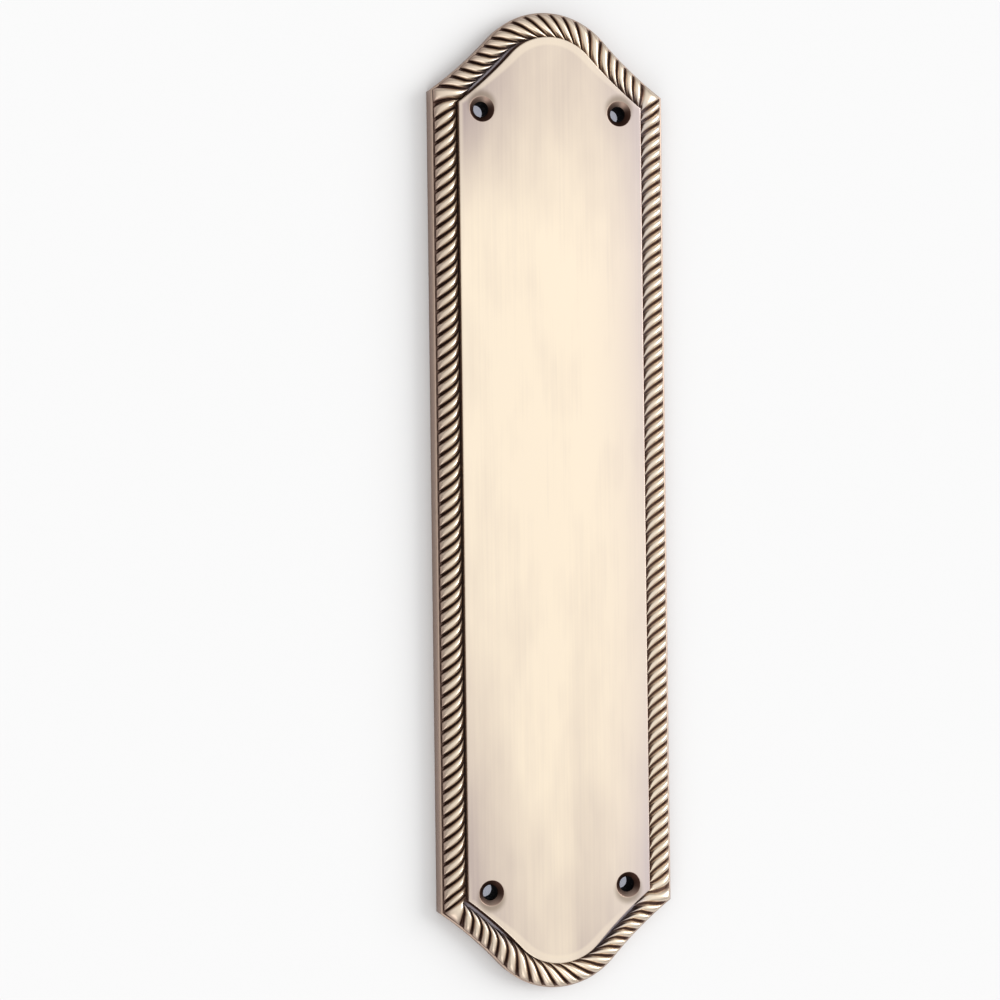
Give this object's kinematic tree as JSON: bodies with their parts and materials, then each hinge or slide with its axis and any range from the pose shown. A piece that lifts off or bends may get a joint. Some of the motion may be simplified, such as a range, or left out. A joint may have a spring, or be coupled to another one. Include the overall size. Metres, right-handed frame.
{
  "type": "door finger plate",
  "caption": "Cast brass finger plate with ogee arched ends, a rope border round a raised plain panel, and countersunk screw holes near the ends.",
  "frame": {"origin": "middle of the plate on the plane of the door", "axes": "+X across the plate, +Y along it towards the top end, +Z out of the door towards the hand"},
  "size_m": [0.07, 0.282, 0.008],
  "materials": {
    "antique_brass": "cast brass, brushed along the panel, browned in the rope's grooves and down the edge"
  },
  "bodies": {
    "root": {"finger_plate": "antique_brass"}
  },
  "joints": []
}
